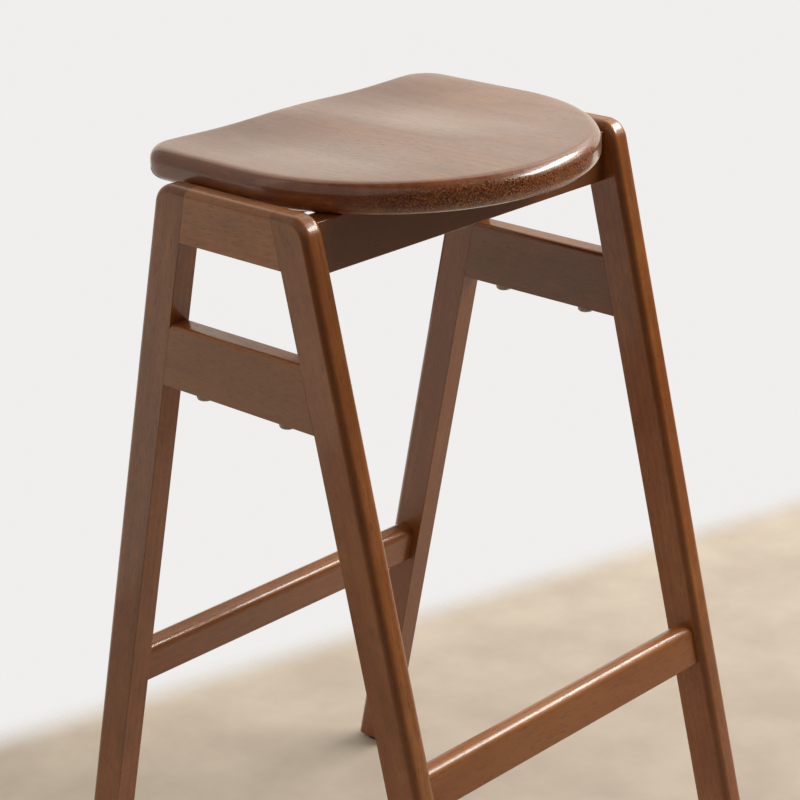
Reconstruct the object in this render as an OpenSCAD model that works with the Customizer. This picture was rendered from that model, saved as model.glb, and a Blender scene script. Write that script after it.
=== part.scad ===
// Bar stool with footrest: two A-shaped side frames joined by two seat rails and two
// footrests, with a D-shaped saddle seat between the frames.
// +X points to the stool's right, -Y to its front, +Z up.
// The origin is on the floor, under the middle of the two side frames.

/* [Overall] */
// Height of the seat's raised rim above the floor
seat_height = 750; // [600:1:820]
// Width over the outer faces of the side frames
frame_width = 404; // [340:1:460]
// Height of the side frames
frame_height = 732; // [580:1:800]
// Depth over the side frames at their top, measured to the sharp corners
frame_top_depth = 173; // [150:1:220]
// Lean of each leg from the vertical, in degrees
lean = 13.1; // [6:0.1:16]

/* [Timber] */
// Thickness of the frame boards
stock = 22; // [18:1:30]
// Width of a leg across its grain
leg_width = 36; // [30:1:50]
// Radius of the frames' top corners
corner_radius = 20; // [10:1:26]

/* [Rails] */
// Height of the side frames' top rails
top_rail_height = 47; // [40:1:60]
// Height of the cross rails
cross_rail_height = 57; // [50:1:70]
// Height of the cross rails' lower edges above the floor
cross_rail_level = 552.5; // [440:0.5:580]
// Height of the seat rails
seat_rail_height = 45; // [42:1:60]
// Distance from the middle of the stool to a seat rail's outer face
seat_rail_reach = 79; // [76:1:84]

/* [Footrests] */
// Height of the footrests' centre lines above the floor
footrest_level = 251.5; // [200:0.5:320]
// Height of a footrest, along the lean of the legs
footrest_height = 37.5; // [32:0.5:44]
// Depth of a footrest, across the lean of the legs
footrest_depth = 21.5; // [18:0.5:26]

/* [Seat] */
// Width of the seat
seat_width = 357; // [300:1:357]
// Thickness of the seat at its rim
seat_thickness = 26.5; // [24:0.5:32]
// Centre of the round front edge, behind the middle of the frames
seat_arc_centre = 7.5; // [0:0.5:20]
// Distance from the middle of the frames to the seat's straight back edge
seat_back_reach = 138.5; // [125:0.5:150]
// Radius of the seat's back corners, seen from above
seat_corner_radius = 32; // [20:1:40]
// Radius of the rounding along the seat's upper edge
seat_edge_radius = 12; // [8:0.5:12]
// Radius of the rounding along the seat's lower edge
seat_under_radius = 8; // [4:0.5:12]
// Depth of the two hollows in the seat
hollow_depth = 4.5; // [2:0.5:6]

/* [Joinery] */
// Diameter of the wooden dowels
dowel_d = 8; // [6:1:8]
// Length of a dowel in the side frames
frame_dowel_length = 36; // [30:1:36]
// Length of a dowel at the end of a seat rail or footrest
rail_dowel_length = 40; // [30:1:50]
// Depth of those dowels in the side frame
rail_dowel_bite = 13; // [10:1:14]
// Diameter of the seat screws' shanks
screw_d = 4.5; // [4:0.5:5]
// Diameter of the seat screws' heads
screw_head_d = 9; // [7:0.5:9]

/* [Feet and pads] */
// Thickness of the plastic glides under the legs
glide_thickness = 3; // [2:0.5:5]
// Diameter of the glides
glide_d = 19; // [14:1:20]
// Diameter of the rubber pads under the cross rails
pad_d = 15; // [10:1:18]
// Height of the rubber pads
pad_height = 7; // [4:0.5:9]
// Distance of a pad from the middle of its cross rail
pad_offset = 50; // [20:1:60]

/* [Hidden] */
$fn = 96;

LEFT = -1;
RIGHT = 1;
FRONT = -1;
BACK = 1;
SIDES = [LEFT, RIGHT];
ENDS = [FRONT, BACK];

// Colours of the stained timber and the fittings
FRAME_COLOUR = [0.42, 0.27, 0.17];
SEAT_COLOUR = [0.36, 0.21, 0.14];
DOWEL_COLOUR = [0.80, 0.66, 0.46];
STEEL_COLOUR = [0.72, 0.72, 0.74];
PLASTIC_COLOUR = [0.12, 0.10, 0.09];
RUBBER_COLOUR = [0.60, 0.58, 0.52];

slope = tan(lean);
leg_run = leg_width / cos(lean);

// Distance from the middle of a side frame to a leg's outer and inner faces at a height
function leg_outer(z) = frame_top_depth / 2 + (frame_height - z) * slope;
function leg_inner(z) = leg_outer(z) - leg_run;
function leg_middle(z) = leg_outer(z) - leg_run / 2;

inner_width = frame_width - 2 * stock;
frame_middle = frame_width / 2 - stock / 2;

// The rounded top corner: its centre lies a radius inside the top edge and the leg's outer face
corner_z = frame_height - corner_radius;
corner_y = (frame_top_depth / 2 * cos(lean) + frame_height * sin(lean) - corner_radius
            - corner_z * sin(lean)) / cos(lean);

top_rail_level = frame_height - top_rail_height;
cross_rail_top = cross_rail_level + cross_rail_height;
seat_bottom = seat_height - seat_thickness;
seat_rail_level = seat_bottom - seat_rail_height;
seat_rail_middle = seat_rail_reach - stock / 2;

// Dowel heights. The seat rails' dowels pass between those of the top rails.
top_rail_dowel_levels = [top_rail_level + 14, top_rail_level + 36];
cross_rail_dowel_levels = [cross_rail_level + 15, cross_rail_top - 15];
seat_rail_dowel_levels = [top_rail_level + 3, top_rail_level + 25];
footrest_dowel_spread = 9.5;

// Seat screws, driven up through counterbores in the seat rails
screw_spread = 100;
counterbore_d = screw_head_d + 1;
screw_head_z = seat_rail_level + 20;
screw_bite = 15;
screw_head_height = 3;

// A hollow is the cap of a large sphere
hollow_sphere_r = 700;
hollow_spread = 78;
hollow_y = 20;

glide_pin_d = 3;
glide_pin_length = 14;
glide_edge = 1;
pad_stem_d = 5;
pad_stem_length = 12;
pad_edge = 2.5;

// Draws its children, given for the right and the back, in the corner wanted
module in_corner(side, end) {
    mirror([side == LEFT ? 1 : 0, 0, 0]) mirror([0, end == FRONT ? 1 : 0, 0]) children();
}

// A plate of the frame's thickness from an outline drawn in Y and Z, in the right frame
module frame_board(outline) {
    translate([frame_width / 2 - stock, 0, 0])
        rotate([90, 0, 90]) linear_extrude(stock) polygon(outline);
}

// A round bar along Y or X, centred on a point
module bar_y(at, d, length) {
    translate(at) rotate([90, 0, 0]) cylinder(d = d, h = length, center = true);
}
module bar_x(at, d, length) {
    translate(at) rotate([0, 90, 0]) cylinder(d = d, h = length, center = true);
}

// Dowels between a leg and a top or cross rail, at the back of the right frame
module frame_dowels(levels) {
    for (z = levels) bar_y([frame_middle, leg_inner(z), z], dowel_d, frame_dowel_length);
}

// The middle of a dowel that enters the right frame from a rail's end
rail_dowel_x = inner_width / 2 + rail_dowel_bite - rail_dowel_length / 2;

// Dowels at the right end of the back seat rail
module seat_rail_dowels() {
    for (z = seat_rail_dowel_levels)
        bar_x([rail_dowel_x, seat_rail_middle, z], dowel_d, rail_dowel_length);
}

// Places its children at the centre of the back footrest, leaning with the legs
module at_back_footrest() {
    translate([0, leg_middle(footrest_level), footrest_level]) rotate([lean, 0, 0]) children();
}

// Dowels at the right end of the back footrest
module footrest_dowels() {
    at_back_footrest()
        for (end = ENDS)
            bar_x([rail_dowel_x, 0, end * footrest_dowel_spread], dowel_d, rail_dowel_length);
}

// One leg of a side frame, with its bores. It runs the frame's whole height.
module leg(side, end) {
    low = glide_thickness;
    top = frame_height;
    beyond = leg_outer(0);
    color(FRAME_COLOUR) in_corner(side, end) difference() {
        frame_board([
            [leg_inner(low), low], [leg_outer(low), low],
            [leg_outer(top), top], [leg_inner(top), top],
        ]);
        // what lies outside the rounded corner
        difference() {
            frame_board([
                [corner_y, corner_z],
                [corner_y + 2 * corner_radius * cos(lean), corner_z + 2 * corner_radius * sin(lean)],
                [beyond, top + corner_radius],
                [corner_y, top + corner_radius],
            ]);
            bar_x([frame_middle, corner_y, corner_z], 2 * corner_radius, 2 * stock);
        }
        frame_dowels(top_rail_dowel_levels);
        frame_dowels(cross_rail_dowel_levels);
        seat_rail_dowels();
        footrest_dowels();
        translate([frame_middle, leg_middle(low), low])
            cylinder(d = glide_pin_d, h = glide_pin_length);
    }
}

// A rail between the two legs of a side frame, its ends cut to the lean of the legs
module frame_rail(side, low, high, levels) {
    color(FRAME_COLOUR) mirror([side == LEFT ? 1 : 0, 0, 0]) difference() {
        frame_board([
            [-leg_inner(low), low], [leg_inner(low), low],
            [leg_inner(high), high], [-leg_inner(high), high],
        ]);
        for (end = ENDS) mirror([0, end == FRONT ? 1 : 0, 0]) frame_dowels(levels);
        children();
    }
}

module top_rail(side) {
    frame_rail(side, top_rail_level, frame_height, top_rail_dowel_levels);
}

module cross_rail(side) {
    frame_rail(side, cross_rail_level, cross_rail_top, cross_rail_dowel_levels)
        for (end = ENDS)
            translate([frame_middle, end * pad_offset, cross_rail_level])
                cylinder(d = pad_stem_d, h = pad_stem_length);
}

// One seat screw, from the point of its shank down to its head
module seat_screw(at) {
    head_top = screw_head_z + screw_head_height;
    translate(at) rotate_extrude() polygon([
        [0, screw_head_z], [screw_head_d / 2, screw_head_z], [screw_head_d / 2, head_top],
        [screw_d / 2, head_top], [screw_d / 2, seat_bottom + screw_bite - screw_d],
        [0, seat_bottom + screw_bite],
    ]);
}

module seat_rail(end) {
    color(FRAME_COLOUR) mirror([0, end == FRONT ? 1 : 0, 0]) difference() {
        translate([-inner_width / 2, seat_rail_reach - stock, seat_rail_level])
            cube([inner_width, stock, seat_rail_height]);
        for (side = SIDES) mirror([side == LEFT ? 1 : 0, 0, 0]) seat_rail_dowels();
        for (side = SIDES) translate([side * screw_spread, seat_rail_middle, 0]) {
            cylinder(d = screw_d, h = seat_height);
            cylinder(d = counterbore_d, h = screw_head_z + screw_head_height);
        }
    }
}

module footrest(end) {
    color(FRAME_COLOUR) mirror([0, end == FRONT ? 1 : 0, 0]) difference() {
        at_back_footrest() cube([inner_width, footrest_depth, footrest_height], center = true);
        for (side = SIDES) mirror([side == LEFT ? 1 : 0, 0, 0]) footrest_dowels();
    }
}

// Half of a slab's cross-section with a rounded edge, from its middle out to a reach
module seat_section(reach) {
    t = seat_thickness;
    over = seat_edge_radius;
    under = seat_under_radius;
    square([reach - over, t]);
    square([reach - under, t - over]);
    translate([0, under]) square([reach, t - over - under]);
    translate([reach - over, t - over]) circle(over);
    translate([reach - under, under]) circle(under);
}

// The D-shaped slab: a half-round front, straight sides and a straight back
module seat_slab() {
    half = seat_width / 2;
    c = seat_corner_radius;
    straight = seat_back_reach - c;
    translate([0, seat_arc_centre, 0]) rotate([0, 0, 180]) rotate_extrude(angle = 180)
        seat_section(half);
    for (side = SIDES) mirror([side == LEFT ? 1 : 0, 0, 0]) {
        translate([0, straight, 0]) rotate([90, 0, 0]) linear_extrude(straight - seat_arc_centre)
            seat_section(half);
        translate([half - c, straight, 0]) rotate_extrude(angle = 90) seat_section(c);
        translate([0, straight, 0]) rotate([90, 0, 90]) linear_extrude(half - c)
            seat_section(c);
    }
}

module seat() {
    color(SEAT_COLOUR) difference() {
        translate([0, 0, seat_bottom]) seat_slab();
        for (side = SIDES)
            translate([side * hollow_spread, hollow_y, seat_height - hollow_depth + hollow_sphere_r])
                sphere(hollow_sphere_r);
        for (side = SIDES) for (end = ENDS)
            seat_screw([side * screw_spread, end * seat_rail_middle, 0]);
    }
}

module top_rail_dowels(side) {
    color(DOWEL_COLOUR) for (end = ENDS) in_corner(side, end) frame_dowels(top_rail_dowel_levels);
}

module cross_rail_dowels(side) {
    color(DOWEL_COLOUR) for (end = ENDS) in_corner(side, end) frame_dowels(cross_rail_dowel_levels);
}

module seat_rail_dowel_set(end) {
    color(DOWEL_COLOUR) for (side = SIDES) in_corner(side, end) seat_rail_dowels();
}

module footrest_dowel_set(end) {
    color(DOWEL_COLOUR) for (side = SIDES) in_corner(side, end) footrest_dowels();
}

module seat_screws(end) {
    color(STEEL_COLOUR) for (side = SIDES)
        seat_screw([side * screw_spread, end * seat_rail_middle, 0]);
}

// Two rubber pads with push-in stems, under a cross rail
module stacking_pads(side) {
    color(RUBBER_COLOUR) for (end = ENDS)
        translate([side * frame_middle, end * pad_offset, cross_rail_level]) {
            cylinder(d = pad_stem_d, h = pad_stem_length);
            rotate([180, 0, 0]) rotate_extrude() {
                square([pad_d / 2 - pad_edge, pad_height]);
                square([pad_d / 2, pad_height - pad_edge]);
                translate([pad_d / 2 - pad_edge, pad_height - pad_edge]) circle(pad_edge);
            }
        }
}

// A glide: a plastic disc with a pin that is driven into the end of the leg
module glide(side, end) {
    r = glide_d / 2;
    color(PLASTIC_COLOUR)
        translate([side * frame_middle, end * leg_middle(glide_thickness), 0]) rotate_extrude()
            polygon([
                [0, 0], [r - glide_edge, 0], [r, glide_edge], [r, glide_thickness],
                [glide_pin_d / 2, glide_thickness],
                [glide_pin_d / 2, glide_thickness + glide_pin_length],
                [0, glide_thickness + glide_pin_length],
            ]);
}

seat();
leg(LEFT, FRONT);  // left_front_leg
leg(LEFT, BACK);  // left_back_leg
leg(RIGHT, FRONT);  // right_front_leg
leg(RIGHT, BACK);  // right_back_leg
top_rail(LEFT);  // left_top_rail
top_rail(RIGHT);  // right_top_rail
cross_rail(LEFT);  // left_cross_rail
cross_rail(RIGHT);  // right_cross_rail
seat_rail(FRONT);  // front_seat_rail
seat_rail(BACK);  // back_seat_rail
footrest(FRONT);  // front_footrest
footrest(BACK);  // back_footrest
top_rail_dowels(LEFT);  // left_top_rail_dowels
top_rail_dowels(RIGHT);  // right_top_rail_dowels
cross_rail_dowels(LEFT);  // left_cross_rail_dowels
cross_rail_dowels(RIGHT);  // right_cross_rail_dowels
seat_rail_dowel_set(FRONT);  // front_seat_rail_dowels
seat_rail_dowel_set(BACK);  // back_seat_rail_dowels
footrest_dowel_set(FRONT);  // front_footrest_dowels
footrest_dowel_set(BACK);  // back_footrest_dowels
seat_screws(FRONT);  // front_seat_screws
seat_screws(BACK);  // back_seat_screws
stacking_pads(LEFT);  // left_stacking_pads
stacking_pads(RIGHT);  // right_stacking_pads
glide(LEFT, FRONT);  // left_front_glide
glide(LEFT, BACK);  // left_back_glide
glide(RIGHT, FRONT);  // right_front_glide
glide(RIGHT, BACK);  // right_back_glide
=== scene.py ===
import math

import bmesh
import bpy
import numpy as np
from mathutils import Matrix, Vector


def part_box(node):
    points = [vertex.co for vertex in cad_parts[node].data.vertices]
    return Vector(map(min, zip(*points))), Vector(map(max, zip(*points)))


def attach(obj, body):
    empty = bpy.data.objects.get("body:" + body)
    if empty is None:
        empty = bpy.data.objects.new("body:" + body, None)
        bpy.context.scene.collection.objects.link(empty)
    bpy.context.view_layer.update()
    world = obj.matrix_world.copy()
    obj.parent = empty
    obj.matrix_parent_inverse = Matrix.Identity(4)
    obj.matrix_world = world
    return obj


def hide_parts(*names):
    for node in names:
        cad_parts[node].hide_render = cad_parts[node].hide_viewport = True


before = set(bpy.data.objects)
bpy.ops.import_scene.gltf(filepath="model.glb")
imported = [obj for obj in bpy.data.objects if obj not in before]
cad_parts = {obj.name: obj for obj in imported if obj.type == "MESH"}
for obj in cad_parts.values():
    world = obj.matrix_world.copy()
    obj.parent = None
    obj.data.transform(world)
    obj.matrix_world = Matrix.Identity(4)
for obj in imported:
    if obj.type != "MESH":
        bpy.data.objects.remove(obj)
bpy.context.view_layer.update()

# ---------------------------------------------------------------- sizes, in metres
LEAN = math.radians(13.1)
SLOPE = math.tan(LEAN)
LEG_WIDTH = 0.036
LEG_RUN = LEG_WIDTH / math.cos(LEAN)   # width of a leg, measured level
CORNER_RADIUS = 0.020

PERIMETER_ROUNDING = 0.0066   # outer arrises of the side frames
RAIL_TOP_ROUNDING = 0.0045    # top arrises of the cross rails
FOOTREST_ROUNDING = 0.0085    # top arrises of the footrests
EASED = 0.0008                # arrises that are only sanded
SEAM = 0.0001                 # hairline groove where two boards meet
FOOT_CHAMFER = 0.0015
SHARP_ANGLE = math.radians(42)
ROUNDING_STEPS = 8            # segments across a large rounding
EASED_STEPS = 3               # segments across a sanded arris
CORNER_STEPS = 14             # segments round a top corner of a side frame
COUNTERBORE_RADIUS = 0.005
COUNTERBORE_SIDES = 48
SCREW_HEAD_HEIGHT = 0.003

SEAT_EDGE = 0.0115            # rounding of the seat's upper edge
SEAT_UNDER_EDGE = 0.0080      # rounding of its lower edge
SEAT_CORNER_RADIUS = 0.032
HOLLOW_DEPTH = 0.0045
HOLLOW_SPREAD = 0.082         # each hollow's centre, to the side of the middle
HOLLOW_BACK = 0.035           # and behind it
HOLLOW_HALF_WIDTH = 0.092
HOLLOW_HALF_LENGTH = 0.150
HOLLOW_STEEPNESS = 0.045      # slope at which a hollow's painted shade and dullness are full

# How finely the seat's mesh is divided
SEAT_FRONT_STEPS = 72
SEAT_SIDE_STEPS = 18
SEAT_CORNER_STEPS = 12
SEAT_BACK_STEPS = 48
SEAT_EDGE_STEPS = 10
SEAT_FACE_LOOPS = 32

# Some boards are paler (above 0) or darker than the rest. This is partly the boards' own tone and partly
# painted shade: the seat rails and the right frame are darker as painted shade from the seat above them.
BOARD_TONE_AND_PAINTED_SHADE = {
    "left_top_rail": 0.12,
    "left_cross_rail": 0.16,
    "left_front_leg": 0.03,
    "left_back_leg": -0.09,
    "right_back_leg": -0.22,
    "right_cross_rail": -0.20,
    "front_seat_rail": -0.30,
    "back_seat_rail": -0.20,
    "front_footrest": 0.15,
}

# Each board is cut elsewhere in the log, by a seed of its own
SIDE_SEED_STEP = 20
SEAT_RAIL_SEED = 50
FOOTREST_SEED = 60
SIDE_DOWEL_SEED = 70
BAR_DOWEL_SEED = 80
SEAT_SEED = 99
LOG_REACH = (3, 0.09, 0.09)   # how far from the log's middle it may be cut, along and across the grain

# How a normal's share along an axis of the board tells a face, an arris and an end apart
FLAT_SHARE = 0.999
ARRIS_FALL = 0.09
LEVEL_CUTOFF = 2.5
END_SHARE = 0.45
END_RISE = 0.4

SIDES = {"left": -1, "right": 1}
ENDS = {"front": -1, "back": 1}


# ---------------------------------------------------------------- mesh helpers
def new_object(name, mesh):
    made = bpy.data.objects.new(name, mesh)
    bpy.context.scene.collection.objects.link(made)
    return made


def mesh_from(name, corners, faces):
    mesh = bpy.data.meshes.new(name)
    mesh.from_pydata([tuple(c) for c in corners], [], faces)
    mesh.validate()
    mesh.update()
    return mesh


def apply_modifiers(piece):
    """Turns the piece's modifiers into its mesh."""
    graph = bpy.context.evaluated_depsgraph_get()
    made = bpy.data.meshes.new_from_object(
        piece.evaluated_get(graph), preserve_all_data_layers=True, depsgraph=graph
    )
    piece.modifiers.clear()
    piece.data = made
    return piece


def point_outward(mesh):
    """Makes every face look outward."""
    shape = bmesh.new()
    shape.from_mesh(mesh)
    bmesh.ops.recalc_face_normals(shape, faces=shape.faces[:])
    shape.to_mesh(mesh)
    shape.free()


def shade_smooth(piece):
    """Shades the flats flat and the round stretches smooth, with a sharp line at each sawn corner."""
    shape = bmesh.new()
    shape.from_mesh(piece.data)
    for face in shape.faces:
        face.smooth = True
    for edge in shape.edges:
        edge.smooth = edge.calc_face_angle(0) < SHARP_ANGLE
    shape.to_mesh(piece.data)
    shape.free()
    weighted = piece.modifiers.new("weighted", "WEIGHTED_NORMAL")
    weighted.weight = 100
    weighted.keep_sharp = True
    return apply_modifiers(piece)


def round_over(piece, rounding, steps):
    """Rounds each edge by rounding(edge), a radius that may be 0."""
    shape = bmesh.new()
    shape.from_mesh(piece.data)
    shape.normal_update()
    weight = shape.edges.layers.float.new("bevel_weight_edge")
    radii = [rounding(edge) for edge in shape.edges]
    widest = max(radii)
    for edge, radius in zip(shape.edges, radii):
        edge[weight] = radius / widest
    shape.to_mesh(piece.data)
    shape.free()
    bevel = piece.modifiers.new("round_over", "BEVEL")
    bevel.limit_method = "WEIGHT"
    bevel.width = widest
    bevel.segments = steps
    bevel.use_clamp_overlap = False
    apply_modifiers(piece)
    left_over = piece.data.attributes.get("bevel_weight_edge")
    if left_over:
        piece.data.attributes.remove(left_over)
    return piece


def slab(name, outline, low, high):
    """A flat slab between the planes low and high along X, from an outline in Y and Z."""
    count = len(outline)
    points = [(x, y, z) for x in (low, high) for y, z in outline]
    faces = [list(range(count)), list(range(count, 2 * count))]
    faces += [[i, (i + 1) % count, count + (i + 1) % count, count + i] for i in range(count)]
    piece = new_object(name, mesh_from(name, points, faces))
    point_outward(piece.data)
    return piece


def saw(piece, place, direction):
    """Cuts the piece at a plane, throws away the side that direction points to, and closes the cut."""
    shape = bmesh.new()
    shape.from_mesh(piece.data)
    everything = shape.verts[:] + shape.edges[:] + shape.faces[:]
    cut = bmesh.ops.bisect_plane(
        shape, geom=everything, plane_co=place, plane_no=direction, clear_outer=True, dist=1e-6
    )
    edges = [e for e in cut["geom_cut"] if isinstance(e, bmesh.types.BMEdge)]
    bmesh.ops.edgeloop_fill(shape, edges=edges)
    bmesh.ops.recalc_face_normals(shape, faces=shape.faces[:])
    shape.to_mesh(piece.data)
    shape.free()


def score(piece, levels):
    """Runs an edge loop round the piece at each height."""
    shape = bmesh.new()
    shape.from_mesh(piece.data)
    for z in levels:
        everything = shape.verts[:] + shape.edges[:] + shape.faces[:]
        bmesh.ops.bisect_plane(shape, geom=everything, plane_co=(0, 0, z), plane_no=(0, 0, 1), dist=1e-6)
    shape.to_mesh(piece.data)
    shape.free()


def middle_of(edge):
    return (edge.verts[0].co + edge.verts[1].co) / 2


def is_near(a, b):
    return abs(a - b) < 1e-5


def runs_lengthwise(edge):
    """Whether the edge runs along X, as the long edges of the seat rails and footrests do."""
    return not is_near(edge.verts[0].co.x, edge.verts[1].co.x)


def solids_of(node):
    """The lowest and highest corners of each separate solid in a CAD node."""
    shape = bmesh.new()
    shape.from_mesh(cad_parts[node].data)
    bmesh.ops.remove_doubles(shape, verts=shape.verts[:], dist=1e-6)
    left = set(shape.verts)
    boxes = []
    while left:
        group, front = set(), [left.pop()]
        while front:
            vertex = front.pop()
            group.add(vertex)
            for edge in vertex.link_edges:
                other = edge.other_vert(vertex)
                if other in left:
                    left.remove(other)
                    front.append(other)
        places = np.array([v.co for v in group])
        boxes.append((Vector(places.min(0)), Vector(places.max(0))))
    shape.free()
    return sorted(boxes, key=lambda box: tuple(box[0]))


def turned(name, profile, places, direction, count, radius_at=None):
    """Equal turned solids, one at each place, with their axes along direction.
    profile runs from the lower centre to the upper one as (radius, height)."""
    turn = Vector(direction).to_track_quat("Z", "Y").to_matrix()
    corners, faces = [], []
    for place in places:
        start = len(corners)
        for radius, height in profile[1:-1]:
            for i in range(count):
                angle = 2 * math.pi * i / count
                r = radius_at(radius, height, angle) if radius_at else radius
                corners.append(place + turn @ Vector((r * math.cos(angle), r * math.sin(angle), height)))
        rows = len(profile) - 2
        for row in range(rows - 1):
            for i in range(count):
                a, b = start + row * count + i, start + row * count + (i + 1) % count
                faces.append([a, b, b + count, a + count])
        for row, (radius, height) in ((0, profile[0]), (rows - 1, profile[-1])):
            corners.append(place + turn @ Vector((0, 0, height)))
            for i in range(count):
                a, b = start + row * count + i, start + row * count + (i + 1) % count
                faces.append([a, b, len(corners) - 1])
    piece = new_object(name, mesh_from(name, corners, faces))
    point_outward(piece.data)
    return piece


def write_values(piece, name, values):
    """Stores one number for each vertex, which the materials read by name."""
    attribute = piece.data.attributes.new(name, "FLOAT", "POINT")
    attribute.data.foreach_set("value", np.asarray(values, np.float32))


def write_surface(piece, origin, along, thick, seed):
    """Writes the piece's own timber coordinates: X runs along the grain, and the seed says where in the log.
    It also writes the upright arrises, which the frame's material darkens as a painted dark reflection, the
    end grain, and the board's own tone with its painted shade."""
    along = Vector(along).normalized()
    thick = Vector(thick).normalized()
    across = thick.cross(along)
    turn = np.array([along, across, thick])
    mesh = piece.data
    count = len(mesh.vertices)
    places = np.zeros(count * 3)
    mesh.vertices.foreach_get("co", places)
    reach = np.array(LOG_REACH)
    shift = np.random.default_rng(seed).uniform(-reach, reach)
    local = (places.reshape(-1, 3) - np.array(origin)) @ turn.T + shift
    grain = mesh.attributes.new("grain", "FLOAT_VECTOR", "POINT")
    grain.data.foreach_set("vector", local.astype(np.float32).ravel())

    normals = np.zeros(count * 3, np.float32)
    mesh.vertex_normals.foreach_get("vector", normals)
    normals = normals.reshape(-1, 3)
    facing = np.abs(normals @ turn.T)
    upright = np.clip(1 - LEVEL_CUTOFF * np.abs(normals[:, 2]), 0, 1)
    # Upright arrises, where the frame's colour is darkened as a painted dark reflection
    write_values(piece, "arris", np.clip((FLAT_SHARE - facing.max(axis=1)) / ARRIS_FALL, 0, 1) * upright)
    write_values(piece, "end_grain", np.clip((facing[:, 0] - END_SHARE) / END_RISE, 0, 1))
    # The board's tone, which also holds painted shade for the boards under the seat
    shade = BOARD_TONE_AND_PAINTED_SHADE.get(piece.name.removesuffix("_finished"), 0.0)
    write_values(piece, "shade", np.full(count, shade))


def stand_for(piece, node):
    """The piece rides on the stool and is shown in place of the CAD node."""
    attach(piece, "root")
    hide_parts(node)
    return piece


# ---------------------------------------------------------------- side frames
foot_low, foot_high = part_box("right_back_leg")
FOOT_Z, TOP_Z = foot_low.z, foot_high.z


def leg_outer(z):
    return foot_high.y - (z - FOOT_Z) * SLOPE


def leg_inner(z):
    return leg_outer(z) - LEG_RUN


def arc_points(centre, radius, start, end, steps):
    """Points of an arc, from the angle start to the angle end."""
    angles = np.linspace(start, end, steps + 1)
    return [(centre[0] + radius * math.cos(a), centre[1] + radius * math.sin(a)) for a in angles]


def corner_arc():
    """Points of the rounded top corner of a back leg, from its outer face to the top."""
    centre_z = TOP_Z - CORNER_RADIUS
    centre_y = leg_outer(centre_z) - CORNER_RADIUS / math.cos(LEAN)
    return arc_points((centre_y, centre_z), CORNER_RADIUS, LEAN, math.pi / 2, CORNER_STEPS)


def rail_levels(side):
    """Heights at which a leg meets the lower edge of the top rail and both edges of the cross rail."""
    top_rail, cross_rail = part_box(f"{side}_top_rail"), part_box(f"{side}_cross_rail")
    return top_rail[0].z, cross_rail[1].z, cross_rail[0].z


def make_side_slab(name, side):
    """The whole side frame as one slab, rounded along its top and its outer faces, ready to be sawn."""
    low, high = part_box(f"{side}_top_rail")
    half = [(leg_outer(FOOT_Z), FOOT_Z)] + corner_arc()
    outline = half + [(-y, z) for y, z in reversed(half)]
    piece = slab(name, outline, low.x, high.x)

    def rounding(edge):
        a, b = (v.co for v in edge.verts)
        on_face = is_near(a.x, b.x)
        at_foot = is_near(a.z, FOOT_Z) and is_near(b.z, FOOT_Z)
        return PERIMETER_ROUNDING if on_face and not at_foot else 0

    return round_over(piece, rounding, ROUNDING_STEPS)


def inner_plane(flip):
    """A point and the outward normal of the inner faces of the back (1) or front (-1) legs."""
    return (0, flip * leg_inner(FOOT_Z), FOOT_Z), Vector((0, flip * math.cos(LEAN), math.sin(LEAN)))


def make_leg(side, end, seed):
    node = f"{side}_{end}_leg"
    low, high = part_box(node)
    flip = ENDS[end]
    piece = make_side_slab(f"{node}_finished", side)
    place, outward = inner_plane(flip)
    saw(piece, place, -outward)
    levels = rail_levels(side)
    score(piece, levels)

    def rounding(edge):
        a, b = (v.co for v in edge.verts)
        middle = middle_of(edge)
        if is_near(a.z, FOOT_Z) and is_near(b.z, FOOT_Z):
            return FOOT_CHAMFER
        on_face = is_near(a.x, b.x) and (is_near(a.x, low.x) or is_near(a.x, high.x))
        on_cut = all(is_near((v - Vector(place)).dot(outward), 0) for v in (a, b))
        if not (on_face and on_cut):
            return 0
        by_rail = middle.z > levels[0] or levels[2] < middle.z < levels[1]
        return SEAM if by_rail else EASED

    round_over(piece, rounding, EASED_STEPS)
    shade_smooth(piece)
    middle = ((low.x + high.x) / 2, flip * (leg_outer(FOOT_Z) - LEG_RUN / 2), FOOT_Z)
    write_surface(piece, middle, (0, -flip * SLOPE, 1), (1, 0, 0), seed)
    return stand_for(piece, node)


def make_top_rail(side, seed):
    node = f"{side}_top_rail"
    low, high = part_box(node)
    piece = make_side_slab(f"{node}_finished", side)
    for flip in ENDS.values():
        saw(piece, *inner_plane(flip))
    saw(piece, low, (0, 0, -1))

    def rounding(edge):
        a, b = (v.co for v in edge.verts)
        on_face = is_near(a.x, b.x) and (is_near(a.x, low.x) or is_near(a.x, high.x))
        if not on_face:
            return 0
        if is_near(a.z, low.z) and is_near(b.z, low.z):
            return EASED
        return SEAM if abs(a.z - b.z) > EASED else 0

    round_over(piece, rounding, EASED_STEPS)
    shade_smooth(piece)
    write_surface(piece, (low + high) / 2, (0, 1, 0), (1, 0, 0), seed)
    return stand_for(piece, node)


def make_cross_rail(side, seed):
    node = f"{side}_cross_rail"
    low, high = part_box(node)
    outline = [
        (-leg_inner(low.z), low.z),
        (leg_inner(low.z), low.z),
        (leg_inner(high.z), high.z),
        (-leg_inner(high.z), high.z),
    ]
    piece = slab(f"{node}_finished", outline, low.x, high.x)

    def rounding(edge):
        a, b = (v.co for v in edge.verts)
        if not is_near(a.z, b.z) or not is_near(a.x, b.x):
            return 0
        return RAIL_TOP_ROUNDING if is_near(a.z, high.z) else EASED

    round_over(piece, rounding, ROUNDING_STEPS)
    shade_smooth(piece)
    write_surface(piece, (low + high) / 2, (0, 1, 0), (1, 0, 0), seed)
    return stand_for(piece, node)


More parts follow.
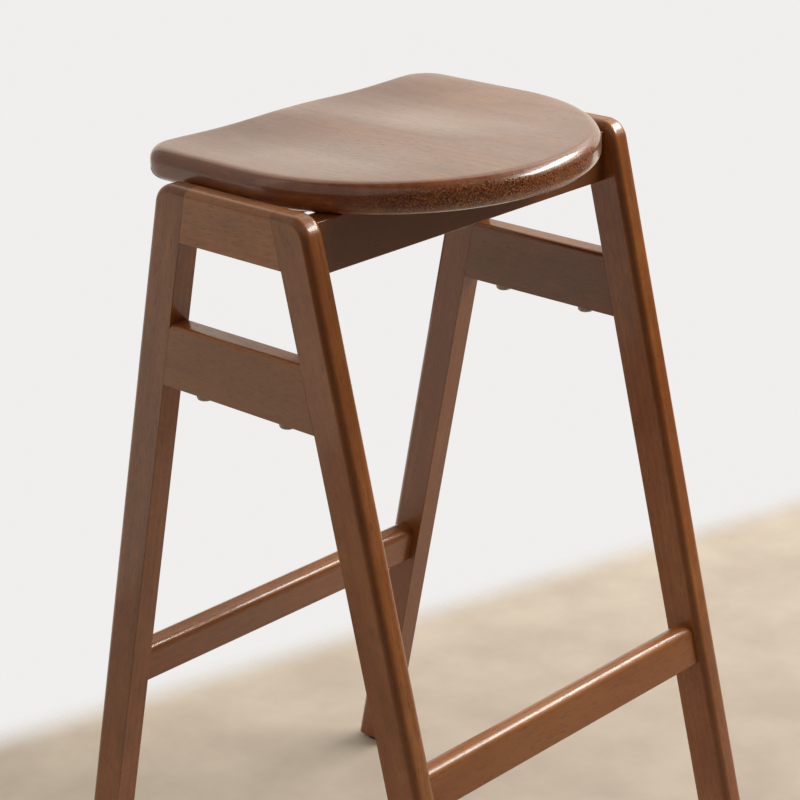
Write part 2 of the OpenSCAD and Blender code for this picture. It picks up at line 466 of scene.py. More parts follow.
# ---------------------------------------------------------------- seat rails and footrests
def drill(piece, places, radius, low, high):
    """Cuts upright bores through the piece."""
    profile = [(0, 0), (radius, 0), (radius, high - low), (0, high - low)]
    starts = [Vector((x, y, low)) for x, y in places]
    cutter = turned("cutter", profile, starts, (0, 0, 1), COUNTERBORE_SIDES)
    boolean = piece.modifiers.new("bores", "BOOLEAN")
    boolean.object = cutter
    boolean.solver = "EXACT"
    apply_modifiers(piece)
    bpy.data.objects.remove(cutter)


def make_seat_rail(end, seed):
    node = f"{end}_seat_rail"
    low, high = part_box(node)
    outline = [(low.y, low.z), (high.y, low.z), (high.y, high.z), (low.y, high.z)]
    piece = slab(f"{node}_finished", outline, low.x, high.x)

    def rounding(edge):
        return EASED if runs_lengthwise(edge) else 0

    round_over(piece, rounding, EASED_STEPS)
    screws = solids_of(f"{end}_seat_screws")
    places = [((a.x + b.x) / 2, (a.y + b.y) / 2) for a, b in screws]
    drill(piece, places, COUNTERBORE_RADIUS, low.z - EASED, screws[0][0].z + SCREW_HEAD_HEIGHT)
    shade_smooth(piece)
    write_surface(piece, (low + high) / 2, (1, 0, 0), (0, 1, 0), seed)
    return stand_for(piece, node)


def make_footrest(end, seed):
    node = f"{end}_footrest"
    low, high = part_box(node)
    span = high - low
    # The level box round a leaning bar gives back the bar's own depth and height
    cosine, sine = math.cos(LEAN), math.sin(LEAN)
    depth = (span.y * cosine - span.z * sine) / math.cos(2 * LEAN)
    height = (span.z * cosine - span.y * sine) / math.cos(2 * LEAN)
    middle = (low + high) / 2
    tilt = Matrix.Rotation(ENDS[end] * LEAN, 2)
    square = [(-1, -1), (1, -1), (1, 1), (-1, 1)]
    outline = [
        Vector((middle.y, middle.z)) + tilt @ Vector((u * depth / 2, v * height / 2)) for u, v in square
    ]
    piece = slab(f"{node}_finished", outline, low.x, high.x)

    def rounding(edge):
        if not runs_lengthwise(edge):
            return 0
        return FOOTREST_ROUNDING if middle_of(edge).z > middle.z else 2 * EASED

    round_over(piece, rounding, ROUNDING_STEPS)
    shade_smooth(piece)
    thick = tilt @ Vector((1, 0))
    write_surface(piece, middle, (1, 0, 0), (0, thick.x, thick.y), seed)
    return stand_for(piece, node)


# ---------------------------------------------------------------- seat
def seat_outline(inset, half_width, back, arc_centre):
    """Points round the D, moved inward: a half circle in front, straight sides and two round corners."""
    radius = half_width - inset
    bend = SEAT_CORNER_RADIUS - inset
    corner_x, corner_y = half_width - SEAT_CORNER_RADIUS, back - SEAT_CORNER_RADIUS
    quarter = math.pi / 2
    points = arc_points((0, arc_centre), radius, -2 * quarter, 0, SEAT_FRONT_STEPS)[:-1]
    points += [(radius, y) for y in np.linspace(arc_centre, corner_y, SEAT_SIDE_STEPS, endpoint=False)]
    points += arc_points((corner_x, corner_y), bend, 0, quarter, SEAT_CORNER_STEPS)[:-1]
    points += [(x, back - inset) for x in np.linspace(corner_x, -corner_x, SEAT_BACK_STEPS, endpoint=False)]
    points += arc_points((-corner_x, corner_y), bend, quarter, 2 * quarter, SEAT_CORNER_STEPS)[:-1]
    points += [(-radius, y) for y in np.linspace(corner_y, arc_centre, SEAT_SIDE_STEPS, endpoint=False)]
    return points


def hollow(x, y):
    """Depth of the saddle at a place: two long shallow hollows with a ridge between them."""
    depth = 0
    for side in SIDES.values():
        across = (x - side * HOLLOW_SPREAD) / HOLLOW_HALF_WIDTH
        along = (y - HOLLOW_BACK) / HOLLOW_HALF_LENGTH
        depth += HOLLOW_DEPTH * max(0, 1 - (across ** 2 + along ** 2)) ** 2
    return depth


def write_slopes(piece):
    """Writes where the hollows slope down toward the front: there the seat's colour is darkened as painted
    shade and its lacquer made duller.
    """
    step = 0.002
    slopes = []
    for vertex in piece.data.vertices:
        x, y, z = vertex.co
        slopes.append((hollow(x, y - step) - hollow(x, y + step)) / (2 * step))
    write_values(piece, "slope", np.clip(np.array(slopes) / HOLLOW_STEEPNESS, 0, 1))


def edge_rings(low, high):
    """The seat's rounded edge, from its sole to its top, as pairs of inset and height."""
    turns = np.linspace(0, math.pi / 2, SEAT_EDGE_STEPS + 1)
    under = [(SEAT_UNDER_EDGE * (1 - math.sin(a)), low + SEAT_UNDER_EDGE * (1 - math.cos(a))) for a in turns]
    over = [(SEAT_EDGE * (1 - math.cos(a)), high - SEAT_EDGE * (1 - math.sin(a))) for a in turns]
    return under + over


def seat_loops(low, high):
    """Closed loops of points from the middle of the sole, round the edge, to the middle of the top."""
    shape = (high.x, high.y, low.y + high.x)
    middle = Vector((0, (low.y + high.y) / 2))
    middle_z = (low.z + high.z) / 2
    shrink = np.linspace(0, 1, SEAT_FACE_LOOPS + 2)[1:-1]
    loops = []
    for share in reversed(shrink):
        inner = [Vector(point).lerp(middle, share) for point in seat_outline(SEAT_UNDER_EDGE, *shape)]
        loops.append([(x, y, low.z) for x, y in inner])
    for inset, z in edge_rings(low.z, high.z):
        sunk = max(0.0, 2 * (z - middle_z) / (high.z - low.z))
        loops.append([(x, y, z - sunk * hollow(x, y)) for x, y in seat_outline(inset, *shape)])
    for share in shrink:
        inner = [Vector(point).lerp(middle, share) for point in seat_outline(SEAT_EDGE, *shape)]
        loops.append([(x, y, high.z - hollow(x, y)) for x, y in inner])
    return loops


def make_seat(seed):
    low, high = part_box("seat")
    loops = seat_loops(low, high)
    count = len(loops[0])
    corners = [point for loop in loops for point in loop]
    faces = []
    for start in range(0, len(corners) - count, count):
        for i in range(count):
            j = (i + 1) % count
            faces.append([start + i, start + j, start + count + j, start + count + i])
    middle_y = (low.y + high.y) / 2
    ends = ((0, low.z), (len(corners) - count, high.z - hollow(0, middle_y)))
    for start, z in ends:
        corners.append((0, middle_y, z))
        faces += [[start + i, start + (i + 1) % count, len(corners) - 1] for i in range(count)]
    piece = new_object("seat_finished", mesh_from("seat_finished", corners, faces))
    point_outward(piece.data)
    for polygon in piece.data.polygons:
        polygon.use_smooth = True
    write_surface(piece, (0, 0, (low.z + high.z) / 2), (0, 1, 0), (0, 0, 1), seed)
    write_slopes(piece)
    return stand_for(piece, "seat")


# ---------------------------------------------------------------- dowels, screws, pads and glides
DOWEL_RADIUS = 0.004
DOWEL_CHAMFER = 0.0012
DOWEL_FLUTES = 10
DOWEL_SIDES = 6 * DOWEL_FLUTES
FLUTE_DEPTH = 0.00035

THREAD_PITCH = 0.0018
THREAD_DEPTH = 0.0007
THREAD_ROWS = 6               # rows of points in one turn of the thread
THREAD_SHARPNESS = 2.6
THREAD_END = 0.0045           # where the thread stops, below the screw's tip
SMOOTH_SHANK = 0.012          # length of the shank without a thread
SCREW_SIDES = 36
SHANK_EASE = 0.0001           # the shank is this much thinner than half the head
TIP = 0.0001
RECESS_START = -0.0005        # just under the head
RECESS_DEPTH = 0.0016
RECESS_TAPER = 0.55

PAD_RIM = 0.0028
PAD_DISH = 0.0009             # height of the rim's lower end
PAD_RIM_ANGLE = math.radians(-62)
PAD_RIM_STEPS = 8
PAD_STEM_RADIUS = 0.0024
PAD_SIDES = 48

GLIDE_EDGE = 0.0011
GLIDE_EDGE_STEPS = 6
GLIDE_NAIL_RADIUS = 0.0015
GLIDE_NAIL_POINT = 0.0035
GLIDE_SIDES = 64


def make_dowels(node, direction, seed):
    """Fluted dowels with chamfered ends."""
    axis = Vector(direction)
    solids = solids_of(node)
    places = [(low + high) / 2 for low, high in solids]
    half = abs((solids[0][1] - solids[0][0]).dot(axis)) / 2
    straight = half - DOWEL_CHAMFER
    profile = [(0, -half), (DOWEL_RADIUS - DOWEL_CHAMFER, -half)]
    profile += [(DOWEL_RADIUS, height) for height in (-straight, -half / 2, 0, half / 2, straight)]
    profile += [(DOWEL_RADIUS - DOWEL_CHAMFER, half), (0, half)]

    def fluted(radius, height, angle):
        depth = FLUTE_DEPTH if radius >= DOWEL_RADIUS else 0
        return radius - depth * max(0, math.cos(DOWEL_FLUTES * angle)) ** 2

    piece = turned(f"{node}_finished", profile, places, direction, DOWEL_SIDES, fluted)
    shade_smooth(piece)
    write_surface(piece, places[0], direction, (0, 0, 1), seed)
    return stand_for(piece, node)


def recess_bar(place, width, length):
    """One bar of a cross recess: a block that narrows upward, as corners from the bottom to the top."""
    corners = []
    for z, taper in ((RECESS_START, 1.0), (RECESS_DEPTH, RECESS_TAPER)):
        for u, v in ((-1, -1), (1, -1), (1, 1), (-1, 1)):
            corners.append((place.x + u * width * taper / 2, place.y + v * length * taper / 2, place.z + z))
    return corners


def cut_recess(piece, places, width):
    """Cuts a cross recess upward into the screw heads."""
    sides = [(i, (i + 1) % 4, 4 + (i + 1) % 4, 4 + i) for i in range(4)]
    corners, faces = [], []
    for place in places:
        for bar in ((width, width / 5), (width / 5, width)):
            start = len(corners)
            corners += recess_bar(place, *bar)
            faces += [[start + i for i in face] for face in [(0, 1, 2, 3), (4, 5, 6, 7)] + sides]
    cutter = new_object("cutter", mesh_from("cutter", corners, faces))
    point_outward(cutter.data)
    boolean = piece.modifiers.new("recess", "BOOLEAN")
    boolean.object = cutter
    boolean.solver = "EXACT"
    boolean.use_self = True
    apply_modifiers(piece)
    bpy.data.objects.remove(cutter)


def make_screws(node):
    """Wood screws with rounded heads, cross recesses and a real helical thread."""
    places = [Vector(((a.x + b.x) / 2, (a.y + b.y) / 2, a.z)) for a, b in solids_of(node)]
    low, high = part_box(node)
    head = (high.y - low.y) / 2
    length = high.z - low.z
    shank = head / 2 - SHANK_EASE
    point = length - THREAD_END
    thread_start = SCREW_HEAD_HEIGHT + SMOOTH_SHANK
    profile = [(0, 0), (head * 0.62, 0), (head * 0.88, 0.0005), (head, 0.0014), (head, 0.0024)]
    profile += [(head * 0.94, SCREW_HEAD_HEIGHT), (shank, SCREW_HEAD_HEIGHT), (shank, thread_start)]
    rows = int((point - thread_start) / THREAD_PITCH * THREAD_ROWS)
    profile += [(shank, z) for z in np.linspace(thread_start, point, rows)[1:]]
    profile += [(shank * 0.5, (point + length) / 2), (2 * TIP, length - TIP), (0, length)]

    def threaded(radius, height, angle):
        if not thread_start < height <= point:
            return radius
        phase = (height / THREAD_PITCH - angle / (2 * math.pi)) % 1
        crest = max(0, 1 - THREAD_SHARPNESS * abs(phase - 0.5))
        return radius - THREAD_DEPTH * (1 - crest)

    piece = turned(f"{node}_finished", profile, places, (0, 0, 1), SCREW_SIDES, threaded)
    cut_recess(piece, places, head * 0.95)
    shade_smooth(piece)
    return stand_for(piece, node)


def make_pads(node):
    """Moulded rubber pads: a low dome with a rounded rim, and a push-in stem with a barb."""
    solids = solids_of(node)
    places = [Vector(((a.x + b.x) / 2, (a.y + b.y) / 2, a.z)) for a, b in solids]
    low, high = solids[0]
    radius = (high.x - low.x) / 2
    # The rim ends where the pad meets the rail, and the stem goes on into it
    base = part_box(node.replace("stacking_pads", "cross_rail"))[0].z - low.z
    top = high.z - low.z
    stem = PAD_STEM_RADIUS
    profile = [(0, 0), (radius * 0.35, 0.0002), (radius * 0.58, 0.0007)]
    profile += arc_points((radius - PAD_RIM, PAD_RIM + PAD_DISH), PAD_RIM, PAD_RIM_ANGLE, 0, PAD_RIM_STEPS)
    profile += [(radius, base - 0.0005), (radius - 0.0004, base), (stem, base)]
    profile += [(stem, top - 0.004), (stem + 0.0001, top - 0.003), (stem * 0.6, top - 0.0006), (0, top)]
    piece = turned(f"{node}_finished", profile, places, (0, 0, 1), PAD_SIDES)
    shade_smooth(piece)
    return stand_for(piece, node)


def make_glide(node):
    """A plastic glide with a rounded edge, a dished sole and its nail."""
    low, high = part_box(node)
    radius, thick = (high.x - low.x) / 2, FOOT_Z - low.z
    nail, top = GLIDE_NAIL_RADIUS, high.z - low.z
    profile = [(0, 0.0003), (radius * 0.4, 0.0002), (radius * 0.52, 0)]
    profile += arc_points((radius - GLIDE_EDGE, GLIDE_EDGE), GLIDE_EDGE, -math.pi / 2, 0, GLIDE_EDGE_STEPS)
    profile += [(radius, thick - 0.0003), (radius - 0.0003, thick), (nail, thick)]
    profile += [(nail, top - GLIDE_NAIL_POINT), (nail * 0.3, top - 0.0004), (0, top)]
    place = Vector(((low.x + high.x) / 2, (low.y + high.y) / 2, low.z))
    piece = turned(f"{node}_finished", profile, [place], (0, 0, 1), GLIDE_SIDES)
    shade_smooth(piece)
    return stand_for(piece, node)


# ---------------------------------------------------------------- materials
class Graph:
    """Short calls for the nodes of one material."""

    def __init__(self, name):
        self.material = bpy.data.materials.new(name)
        self.material.use_nodes = True
        self.nodes = self.material.node_tree.nodes
        self.links = self.material.node_tree.links
        self.surface = self.nodes["Principled BSDF"]

    def node(self, kind, inputs=None, **settings):
        made = self.nodes.new(kind)
        for key, value in settings.items():
            setattr(made, key, value)
        for key, value in (inputs or {}).items():
            self.put(made.inputs[key], value)
        return made

    def put(self, socket, value):
        if isinstance(value, bpy.types.NodeSocket):
            self.links.new(value, socket)
        else:
            socket.default_value = value

    def attribute(self, name, output="Fac"):
        return self.node("ShaderNodeAttribute", attribute_name=name).outputs[output]

    def place(self):
        return self.node("ShaderNodeTexCoord").outputs["Object"]

    def stretched(self, vector, along, across, shift=(0, 0, 0)):
        return self.node(
            "ShaderNodeMapping",
            {"Vector": vector, "Scale": (along, across, across), "Location": shift},
        ).outputs["Vector"]

    def noise(self, vector, detail=2.0, roughness=0.5, distortion=0.0):
        inputs = {"Vector": vector, "Scale": 1.0, "Detail": detail, "Roughness": roughness}
        inputs["Distortion"] = distortion
        return self.node("ShaderNodeTexNoise", inputs).outputs["Fac"]

    def even_noise(self, fineness, detail=2.0, roughness=0.5):
        """Noise in the piece's own place, equally fine in every direction."""
        return self.noise(self.stretched(self.place(), fineness, fineness), detail, roughness)

    def ranged(self, value, low, high, out_low=0.0, out_high=1.0):
        inputs = {"Value": value, "From Min": low, "From Max": high, "To Min": out_low, "To Max": out_high}
        return self.node("ShaderNodeMapRange", inputs, interpolation_type="SMOOTHSTEP").outputs["Result"]

    def math(self, operation, a, b):
        made = self.node("ShaderNodeMath", operation=operation)
        self.put(made.inputs[0], a)
        self.put(made.inputs[1], b)
        return made.outputs["Value"]

    def scaled(self, value, factor):
        return self.math("MULTIPLY", value, factor)

    def mix(self, share, a, b):
        made = self.node("ShaderNodeMix", data_type="RGBA")
        self.put(made.inputs["Factor"], share)
        self.put(made.inputs["A"], a)
        self.put(made.inputs["B"], b)
        return made.outputs["Result"]

    def ramp(self, value, stops):
        made = self.node("ShaderNodeValToRGB", {"Fac": value})
        elements = made.color_ramp.elements
        while len(elements) < len(stops):
            elements.new(0.5)
        for element, (place, colour) in zip(elements, stops):
            element.position = place
            element.color = (*colour, 1)
        return made.outputs["Color"]

    def bump(self, height, distance, strength, normal=None):
        inputs = {"Height": height, "Distance": distance, "Strength": strength}
        if normal is not None:
            inputs["Normal"] = normal
        return self.node("ShaderNodeBump", inputs).outputs["Normal"]

    def finish(self, **inputs):
        """Sets the surface's inputs, each a value or a link, and hands over the material."""
        for key, value in inputs.items():
            self.put(self.surface.inputs[key.replace("_", " ")], value)
        return self.material


# Noise in the timber: fineness along and across the grain, shift, and the noise's own settings
TIMBER_LAYERS = {
    "blotch": (7.0, 26.0, (0, 0, 0), {"detail": 3.0, "distortion": 0.5}),
    "fibre": (38.0, 1300.0, (0, 0, 0), {"detail": 3.0, "roughness": 0.65}),
    "strand": (12.0, 210.0, (4, 1, 6), {}),
    "figure": (48.0, 62.0, (2, 8, 5), {"distortion": 0.6}),
    "reddish": (5.0, 22.0, (7, 7, 2), {}),
    "pores": (105.0, 1250.0, (5, 3, 1), {"detail": 1.0}),
    "rays": (85.0, 700.0, (9, 2, 4), {"detail": 1.0}),
    "dots": (120.0, 760.0, (3, 6, 2), {"roughness": 0.7}),
    "smear": (9.0, 30.0, (1, 4, 7), {"detail": 3.0}),
    "waves": (55.0, 130.0, (3, 3, 3), {}),
}

# How much each layer counts in how light the stain is
TONE_SHARES = {"blotch": 0.46, "rings": 0.06, "fibre": 0.20, "strand": 0.14, "figure": 0.24}

# Dark, middle and light colours of each timber
FRAME_STAIN = ((0.225, 0.068, 0.014), (0.330, 0.105, 0.024), (0.450, 0.162, 0.044))
SEAT_STAIN = ((0.150, 0.036, 0.008), (0.240, 0.060, 0.015), (0.350, 0.110, 0.030))
BEECH = ((0.42, 0.27, 0.14), (0.56, 0.38, 0.21), (0.68, 0.50, 0.31))
COAT_ROUGHNESS = 0.12


def tinted(colour, red, green, blue):
    """The colour with each part multiplied, as a value for a colour socket."""
    return (colour[0] * red, colour[1] * green, colour[2] * blue, 1)


def darker(colour, share):
    return tinted(colour, share, share, share)


def growth_rings(g, grain):
    """Soft growth rings: the face shows long stripes and arches, the end shows arcs."""
    inputs = {"Vector": g.stretched(grain, 0.9, 20.0, (0, 1.7, 2.9)), "Scale": 2.4, "Distortion": 3.5}
    inputs.update({"Detail": 2.0, "Detail Scale": 0.7, "Detail Roughness": 0.6})
    wave = g.node("ShaderNodeTexWave", inputs, wave_type="RINGS", rings_direction="X")
    return wave.outputs["Fac"]


def timber_layers(g):
    """The timber's noises and rings by name, with its pores and where the seat's hollows slope away, which
    the colour darkens as painted shade.
    """
    grain = g.attribute("grain", "Vector")
    layers = {}
    for name, (along, across, shift, settings) in TIMBER_LAYERS.items():
        layers[name] = g.noise(g.stretched(grain, along, across, shift), **settings)
    layers["rings"] = growth_rings(g, grain)
    layers["pores"] = g.ranged(layers["pores"], 0.60, 0.70)
    # Where the seat's hollows slope away, blotchily: painted shade in the colour and a duller lacquer
    cut = g.ranged(layers["blotch"], 0.3, 0.6, 0.55, 0.95)
    layers["cut_across"] = g.scaled(g.attribute("slope"), cut)
    return layers


def stained(g, layers, dark, middle, light):
    """The stain's colour: its tone, reddish stretches, dark pores, pale rays and painted shade on the far
    slopes of the seat's hollows.
    """
    # The board's tone offset starts the tone: partly its own tone, partly painted shade under the seat
    tone = g.attribute("shade")
    for name, share in TONE_SHARES.items():
        tone = g.math("ADD", tone, g.scaled(layers[name], share))
    colour = g.ramp(tone, [(0.36, dark), (0.54, middle), (0.72, light)])
    reddish = g.ranged(layers["reddish"], 0.42, 0.68)
    colour = g.mix(g.scaled(reddish, 0.35), colour, tinted(middle, 1.0, 0.78, 0.80))
    colour = g.mix(g.scaled(layers["pores"], 0.55), colour, darker(dark, 0.40))
    rays = g.ranged(layers["rays"], 0.60, 0.74)
    colour = g.mix(g.scaled(rays, 0.25), colour, (*light, 1))
    # Painted shade: the far slopes of the seat's hollows are darkened
    return g.mix(g.scaled(layers["cut_across"], 0.7), colour, darker(dark, 0.7))


def speckled(g, layers, ends, colour, dark, light):
    """Bright and black dots over the colour, where ends is above 0: the bright dots are pale end grain with
    painted glints, the black dots are pores.
    """
    # Painted glints: bright dots on the end grain, partly pale specks of the grain itself
    bright = g.scaled(g.ranged(layers["dots"], 0.53, 0.62), ends)
    colour = g.mix(bright, colour, tinted(light, 1.6, 1.8, 1.5))
    black = g.scaled(g.ranged(layers["dots"], 0.50, 0.38), ends)
    return g.mix(black, colour, darker(dark, 0.22))


def timber_roughness(g, layers, roughness):
    """Smears in the lacquer, with dull pores and a duller lacquer on the far slopes of the seat's hollows.
    """
    rough = g.ranged(layers["smear"], 0.25, 0.75, roughness - 0.05, roughness + 0.09)
    rough = g.math("ADD", rough, g.scaled(layers["pores"], 0.14))
    return g.math("ADD", rough, g.scaled(layers["cut_across"], 0.30))


def timber_relief(g, layers, ends):
    """Fibres, open pores and rough ends under the slow waves of a hand-sanded face."""
    height = g.math("SUBTRACT", g.scaled(layers["fibre"], 0.35), layers["pores"])
    height = g.math("ADD", height, g.scaled(layers["dots"], g.scaled(ends, 2.5)))
    return g.bump(layers["waves"], 0.00022, 0.35, g.bump(height, 0.00012, 0.5))


def timber(name, colours, roughness, coat=0.0, speckle=0.0, painted_dark_reflection=0.0):
    """Timber under lacquer. Speckle dots its ends with pores, pale specks and painted glints, and its
    upright arrises are darkened as a painted dark reflection.
    """
    dark, middle, light = colours
    g = Graph(name)
    layers = timber_layers(g)
    ends = g.scaled(g.attribute("end_grain"), speckle)
    colour = stained(g, layers, dark, middle, light)
    # Painted dark reflection: the upright arrises are darkened toward the dark stain
    colour = g.mix(g.scaled(g.attribute("arris"), painted_dark_reflection), colour, darker(dark, 0.62))
    colour = speckled(g, layers, ends, colour, dark, light)
    g.surface.inputs["Coat Weight"].default_value = coat
    g.surface.inputs["Coat Roughness"].default_value = COAT_ROUGHNESS
    rough = timber_roughness(g, layers, roughness)
    return g.finish(Base_Color=colour, Roughness=rough, Normal=timber_relief(g, layers, ends))


def zinc(name):
    """Zinc-plated steel with faint turning marks and dull patches."""
    g = Graph(name)
    patches = g.even_noise(260.0, detail=3.0)
    marks = g.even_noise(900.0, detail=1.0)
    colour = g.ramp(patches, [(0.3, (0.50, 0.50, 0.52)), (0.7, (0.72, 0.72, 0.70))])
    rough = g.ranged(patches, 0.3, 0.7, 0.24, 0.42)
    g.surface.inputs["Metallic"].default_value = 1.0
    return g.finish(Base_Color=colour, Roughness=rough, Normal=g.bump(marks, 0.00003, 0.3))


def rubber(name):
    """Milky translucent rubber with a fine moulded skin."""
    g = Graph(name)
    cloud = g.even_noise(240.0, detail=3.0)
    skin = g.even_noise(2600.0, detail=1.0)
    colour = g.ramp(cloud, [(0.3, (0.36, 0.34, 0.28)), (0.7, (0.50, 0.48, 0.42))])
    rough = g.ranged(skin, 0.3, 0.7, 0.36, 0.50)
    g.surface.inputs["Subsurface Weight"].default_value = 0.4
    g.surface.inputs["Subsurface Scale"].default_value = 0.003
    return g.finish(Base_Color=colour, Roughness=rough, Normal=g.bump(skin, 0.00004, 0.4))


def plastic(name):
    """Dark moulded plastic, scuffed where it slides."""
    g = Graph(name)
    skin = g.even_noise(1800.0)
    scuff = g.ranged(g.noise(g.stretched(g.place(), 300.0, 900.0), detail=3.0), 0.52, 0.72)
    colour = g.mix(g.scaled(scuff, 0.5), (0.020, 0.017, 0.015, 1), (0.075, 0.068, 0.062, 1))
    rough = g.math("ADD", g.ranged(skin, 0.3, 0.7, 0.42, 0.56), g.scaled(scuff, 0.2))
    return g.finish(Base_Color=colour, Roughness=rough, Normal=g.bump(skin, 0.00005, 0.5))


def put_material(pieces, material):
    for piece in pieces:
        piece.data.materials.clear()
        piece.data.materials.append(material)


# ---------------------------------------------------------------- the object
def make_frame_timbers():
    pieces = []
    for number, side in enumerate(SIDES):
        seed = SIDE_SEED_STEP * number
        pieces.append(make_top_rail(side, seed + 1))
        pieces.append(make_cross_rail(side, seed + 2))
        for i, end in enumerate(ENDS):
            pieces.append(make_leg(side, end, seed + 3 + i))
    for number, end in enumerate(ENDS):
        pieces.append(make_seat_rail(end, SEAT_RAIL_SEED + number))
        pieces.append(make_footrest(end, FOOTREST_SEED + number))
    return pieces


def make_all_dowels():
    pieces = []
    for number, side in enumerate(SIDES):
        for i, rail in enumerate(("top_rail", "cross_rail")):
            pieces.append(make_dowels(f"{side}_{rail}_dowels", (0, 1, 0), SIDE_DOWEL_SEED + 2 * number + i))
    for number, end in enumerate(ENDS):
        for i, bar in enumerate(("seat_rail", "footrest")):
            pieces.append(make_dowels(f"{end}_{bar}_dowels", (1, 0, 0), BAR_DOWEL_SEED + 2 * number + i))
    return pieces


def build():
    # The last number sets how far the frame's upright arrises are darkened as a painted dark reflection
    stain = timber("stained_frame", FRAME_STAIN, roughness=0.30, coat=0.45, painted_dark_reflection=0.6)
    put_material(make_frame_timbers(), stain)
    seat_stain = timber("stained_seat", SEAT_STAIN, roughness=0.27, coat=1.0, speckle=1.0)
    put_material([make_seat(SEAT_SEED)], seat_stain)
    put_material(make_all_dowels(), timber("dowel_beech", BEECH, roughness=0.55))
    put_material([make_screws(f"{end}_seat_screws") for end in ENDS], zinc("plated_screws"))
    put_material([make_pads(f"{side}_stacking_pads") for side in SIDES], rubber("milky_rubber"))
    glides = [make_glide(f"{side}_{end}_glide") for side in SIDES for end in ENDS]
    put_material(glides, plastic("dark_plastic"))


# ---------------------------------------------------------------- room, light and camera
# The floor fades out along the line where the wall stood, behind the stool
WALL_DISTANCE = 0.49
WALL_DIRECTION = Vector((0.25, 0.97, 0)).normalized()
FADE_BEFORE = 0.03            # where the fade starts, on the stool's side of that line
FADE_AFTER = 0.05             # and where it ends
FADE_RADII = (1.6, 3.4)       # the floor also fades with the distance from the stool
FLOOR_HALF_SIZE = 4.0
FLOOR_STEPS = 8
FLOOR_LEVEL = -0.0003         # just clear of the glides' soles


def make_floor():
    """A plain pale floor that fades into the pale surroundings."""
    places = np.linspace(-FLOOR_HALF_SIZE, FLOOR_HALF_SIZE, FLOOR_STEPS + 1)
    corners = [(x, y, FLOOR_LEVEL) for y in places for x in places]
    row = FLOOR_STEPS + 1
    faces = [
        [a, a + 1, a + 1 + row, a + row]
        for j in range(FLOOR_STEPS)
        for a in range(j * row, j * row + FLOOR_STEPS)
    ]
    floor = new_object("floor", mesh_from("floor", corners, faces))
    g = Graph("pale_floor")
    place = g.place()
    reach = g.node("ShaderNodeVectorMath", {0: place, 1: WALL_DIRECTION}, operation="DOT_PRODUCT")
    radius = g.node("ShaderNodeVectorMath", {0: place}, operation="LENGTH")
    at_wall = g.ranged(reach.outputs["Value"], WALL_DISTANCE - FADE_BEFORE, WALL_DISTANCE + FADE_AFTER)
    far_away = g.ranged(radius.outputs["Value"], *FADE_RADII)
    fade = g.math("MAXIMUM", at_wall, far_away)
    cloud = g.even_noise(9.0, detail=4.0, roughness=0.6)
    colour = g.ramp(cloud, [(0.35, (0.54, 0.46, 0.40)), (0.65, (0.63, 0.55, 0.48))])
    g.finish(Base_Color=colour, Roughness=0.65, Alpha=g.math("SUBTRACT", 1.0, fade))
    floor.data.materials.append(g.material)


def make_world():
    """Pale surroundings: white to the eye, and softer as a light."""
    world = bpy.data.worlds.new("studio")
    bpy.context.scene.world = world
    world.use_nodes = True
    tree = world.node_tree
    light = tree.nodes["Background"]
    light.inputs["Color"].default_value = WORLD_LIGHT
    light.inputs["Strength"].default_value = WORLD_STRENGTH
    seen = tree.nodes.new("ShaderNodeBackground")
    seen.inputs["Color"].default_value = WORLD_SEEN
    path = tree.nodes.new("ShaderNodeLightPath")
    mix = tree.nodes.new("ShaderNodeMixShader")
    tree.links.new(path.outputs["Is Camera Ray"], mix.inputs["Fac"])
    tree.links.new(light.outputs["Background"], mix.inputs[1])
    tree.links.new(seen.outputs["Background"], mix.inputs[2])
    tree.links.new(mix.outputs["Shader"], tree.nodes["World Output"].inputs["Surface"])


WORLD_SEEN = (0.87, 0.86, 0.85, 1)
WORLD_LIGHT = (1.0, 0.97, 0.90, 1)
WORLD_STRENGTH = 0.07
LAMP_COLOUR = (1.0, 0.97, 0.87)
WALL_COLOUR = (1.0, 0.93, 0.79)

# Each soft box: name, compass direction clockwise from +Y, elevation, width, height and brightness
SOFT_BOXES = [
    ("window", 120, 38, 1.6, 1.2, 1.6),
    ("window_pane", 118, 40, 1.7, 0.4, 16.0),
    ("window_side", 90, 45, 1.5, 1.5, 0.60),
    ("room_left", 270, 45, 2.8, 2.4, 0.32),
    ("room_behind", 225, 45, 1.5, 1.5, 0.15),
]
LIGHT_TARGET = Vector((0, 0, 0.45))
LIGHT_DISTANCE = 2.2
WALL_GAP = 0.04               # the wall's lights stand this far behind the line where the floor fades

# Bright stretches of the wall behind the stool: name, left, right, bottom, top and brightness
WALL_LIGHTS = [
    ("wall_left_low", -2.2, -0.2, 0.0, 0.6, 0.60),
    ("wall_right_low", -0.2, 2.0, 0.0, 0.4, 1.00),
    ("wall_left_high", -2.2, -0.2, 0.6, 2.2, 0.38),
    ("wall_right_high", -0.2, 2.0, 0.6, 2.2, 0.78),
]


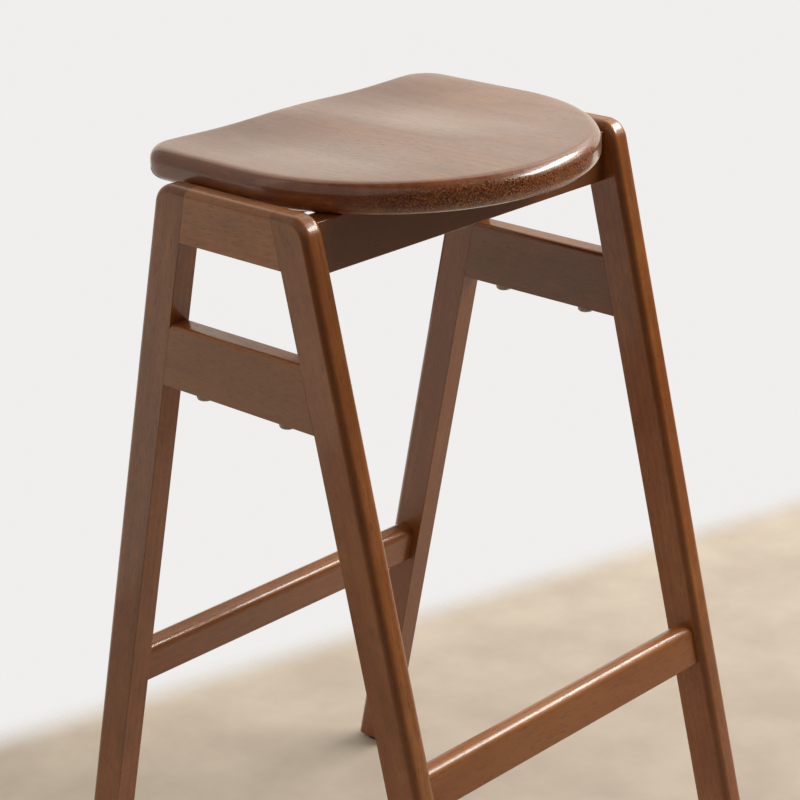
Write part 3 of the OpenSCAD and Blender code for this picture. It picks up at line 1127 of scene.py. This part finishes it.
def make_light(name, place, away, size, brightness, colour):
    """A soft box that the camera doesn't see. Its surface is brightness times as bright as white paper."""
    data = bpy.data.lights.new(name, "AREA")
    data.shape = "RECTANGLE"
    data.size, data.size_y = size
    data.energy = brightness * math.pi * data.size * data.size_y
    data.color = colour
    lamp = new_object(name, data)
    lamp.location = place
    lamp.rotation_euler = (-away).to_track_quat("-Z", "Y").to_euler()
    lamp.visible_camera = False


def make_lights():
    for name, compass, elevation, width, height, brightness in SOFT_BOXES:
        compass, elevation = math.radians(compass), math.radians(elevation)
        level = math.cos(elevation)
        away = Vector((math.sin(compass) * level, math.cos(compass) * level, math.sin(elevation)))
        place = LIGHT_TARGET + away * LIGHT_DISTANCE
        make_light(name, place, away, (width, height), brightness, LAMP_COLOUR)
    along = Vector((WALL_DIRECTION.y, -WALL_DIRECTION.x, 0))
    for name, left, right, bottom, top, brightness in WALL_LIGHTS:
        place = WALL_DIRECTION * (WALL_DISTANCE + WALL_GAP) + along * (left + right) / 2
        place.z = (bottom + top) / 2
        make_light(name, place, WALL_DIRECTION, (right - left, top - bottom), brightness, WALL_COLOUR)


CAMERA_PLACE = (-1.4720, -1.4140, 1.2849)
CAMERA_YAW = math.radians(46.017)
CAMERA_PITCH = math.radians(-20.985)
CAMERA_ROLL = math.radians(-1.427)
CAMERA_LENS = 110.58          # millimetres, as is the sensor's width
SENSOR_WIDTH = 36


def make_camera():
    forward = Vector((
        math.sin(CAMERA_YAW) * math.cos(CAMERA_PITCH),
        math.cos(CAMERA_YAW) * math.cos(CAMERA_PITCH),
        math.sin(CAMERA_PITCH),
    ))
    right = Vector((math.cos(CAMERA_YAW), -math.sin(CAMERA_YAW), 0))
    up = right.cross(forward)
    cosine, sine = math.cos(CAMERA_ROLL), math.sin(CAMERA_ROLL)
    axes = Matrix((cosine * right + sine * up, cosine * up - sine * right, -forward)).transposed()
    data = bpy.data.cameras.new("photo_view")
    data.lens = CAMERA_LENS
    data.sensor_width = SENSOR_WIDTH
    data.clip_start, data.clip_end = 0.05, 50
    camera = new_object("photo_view", data)
    camera.matrix_world = Matrix.Translation(CAMERA_PLACE) @ axes.to_4x4()
    bpy.context.scene.camera = camera


make_camera()
make_world()
make_lights()
make_floor()
build()
bpy.context.scene.view_settings.view_transform = "Standard"

bpy.context.view_layer.update()
